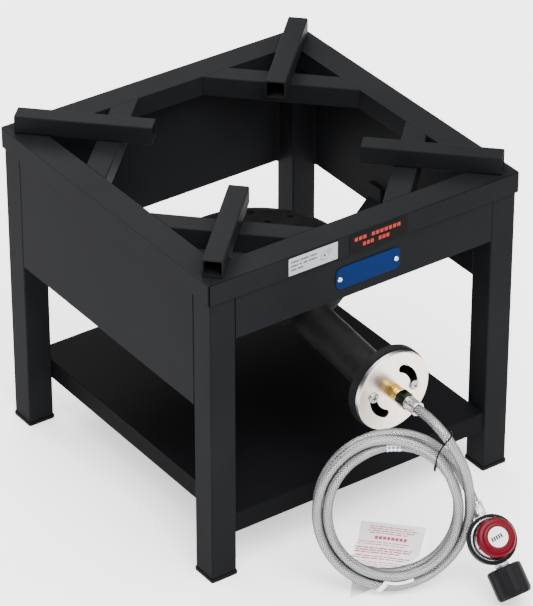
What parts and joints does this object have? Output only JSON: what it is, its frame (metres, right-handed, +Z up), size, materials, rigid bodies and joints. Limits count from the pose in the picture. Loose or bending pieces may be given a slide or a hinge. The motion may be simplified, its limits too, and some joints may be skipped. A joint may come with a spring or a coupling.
{
  "type": "propane burner stand",
  "caption": "Square welded outdoor burner stand with raised pot supports, lower shelf, cast burner with air shutter, braided gas hose and adjustable regulator.",
  "frame": {"origin": "on the floor under the middle of the box around the stand and its burner fitting", "axes": "+Z up, burner mouth towards -Y, +X to the right seen from the front"},
  "size_m": [0.445, 0.6993, 0.4384],
  "materials": {
    "powder_black": "satin powder coat",
    "cast_black": "matt heat-resistant black",
    "rubber_black": "matt",
    "nickel": "plated, softly polished",
    "brass": "machined",
    "steel": "zinc plated",
    "braid": "woven stainless braid",
    "red_plastic": "glossy",
    "black_plastic": "fine grain",
    "white_label": "satin",
    "black_label": "satin",
    "blue_plate": "enamel"
  },
  "bodies": {
    "stand": {"top_rail_front": "powder_black", "top_rail_right": "powder_black", "top_rail_back": "powder_black", "top_rail_left": "powder_black", "corner_brace_front_right": "powder_black", "corner_brace_back_right": "powder_black", "corner_brace_back_left": "powder_black", "corner_brace_front_left": "powder_black", "pot_support_front_right": "powder_black", "pot_support_back_right": "powder_black", "pot_support_back_left": "powder_black", "pot_support_front_left": "powder_black", "leg_front_right": "powder_black", "leg_back_right": "powder_black", "leg_back_left": "powder_black", "leg_front_left": "powder_black", "foot_cap_front_right": "rubber_black", "foot_cap_back_right": "rubber_black", "foot_cap_back_left": "rubber_black", "foot_cap_front_left": "rubber_black", "panel_front": "powder_black", "panel_right": "powder_black", "panel_back": "powder_black", "panel_left": "powder_black", "shelf_tray": "powder_black", "crossbar_front": "powder_black", "crossbar_back": "powder_black", "burner_body": "cast_black", "burner_cap": "cast_black", "burner_centre_bolt": "steel", "crossbar_bolt_front": "steel", "crossbar_bolt_back": "steel", "shutter_screw_right": "steel", "shutter_screw_left": "steel", "rivet_left": "steel", "rivet_right": "steel", "burner_ferrule": "steel", "outlet_ferrule": "steel", "regulator_body": "steel", "bonnet": "steel", "regulator_spring": "steel", "orifice_fitting": "brass", "inlet_stem": "brass", "hose_drop": "braid", "hose_coil": "braid", "hose_lead": "braid", "coil_tie": "rubber_black", "diaphragm": "rubber_black", "clamp_ring": "rubber_black", "sleeve_label": "white_label", "hang_tag": "white_label", "tag_strap": "white_label", "sticker_white": "white_label", "sticker_black": "black_label", "emblem_plate": "blue_plate"},
    "shutter": {"air_shutter": "nickel"},
    "swivel": {"hose_nut": "rubber_black"},
    "hand_nut": {"acme_nut": "black_plastic"},
    "knob": {"adjusting_knob": "red_plastic", "knob_label": "white_label"}
  },
  "joints": [
    {"name": "air_shutter_turn", "type": "hinge", "parent": "stand", "child": "shutter", "pos_m": [0, -0.2416, 0.22], "axis": [0, 1, 0], "range_deg": [0, 60]},
    {"name": "swivel_nut_turn", "type": "hinge", "parent": "stand", "child": "swivel", "pos_m": [0, -0.264, 0.22], "axis": [0, -1, 0], "continuous": true},
    {"name": "hand_nut_turn", "type": "hinge", "parent": "stand", "child": "hand_nut", "pos_m": [0.04332, -0.40965, 0.03629], "axis": [0.0108, -0.6822, -0.731], "continuous": true},
    {"name": "regulator_adjust", "type": "hinge", "parent": "stand", "child": "knob", "pos_m": [0.03857, -0.39248, 0.08107], "axis": [-0.231, -0.713, 0.662], "range_deg": [-540, 540]}
  ]
}
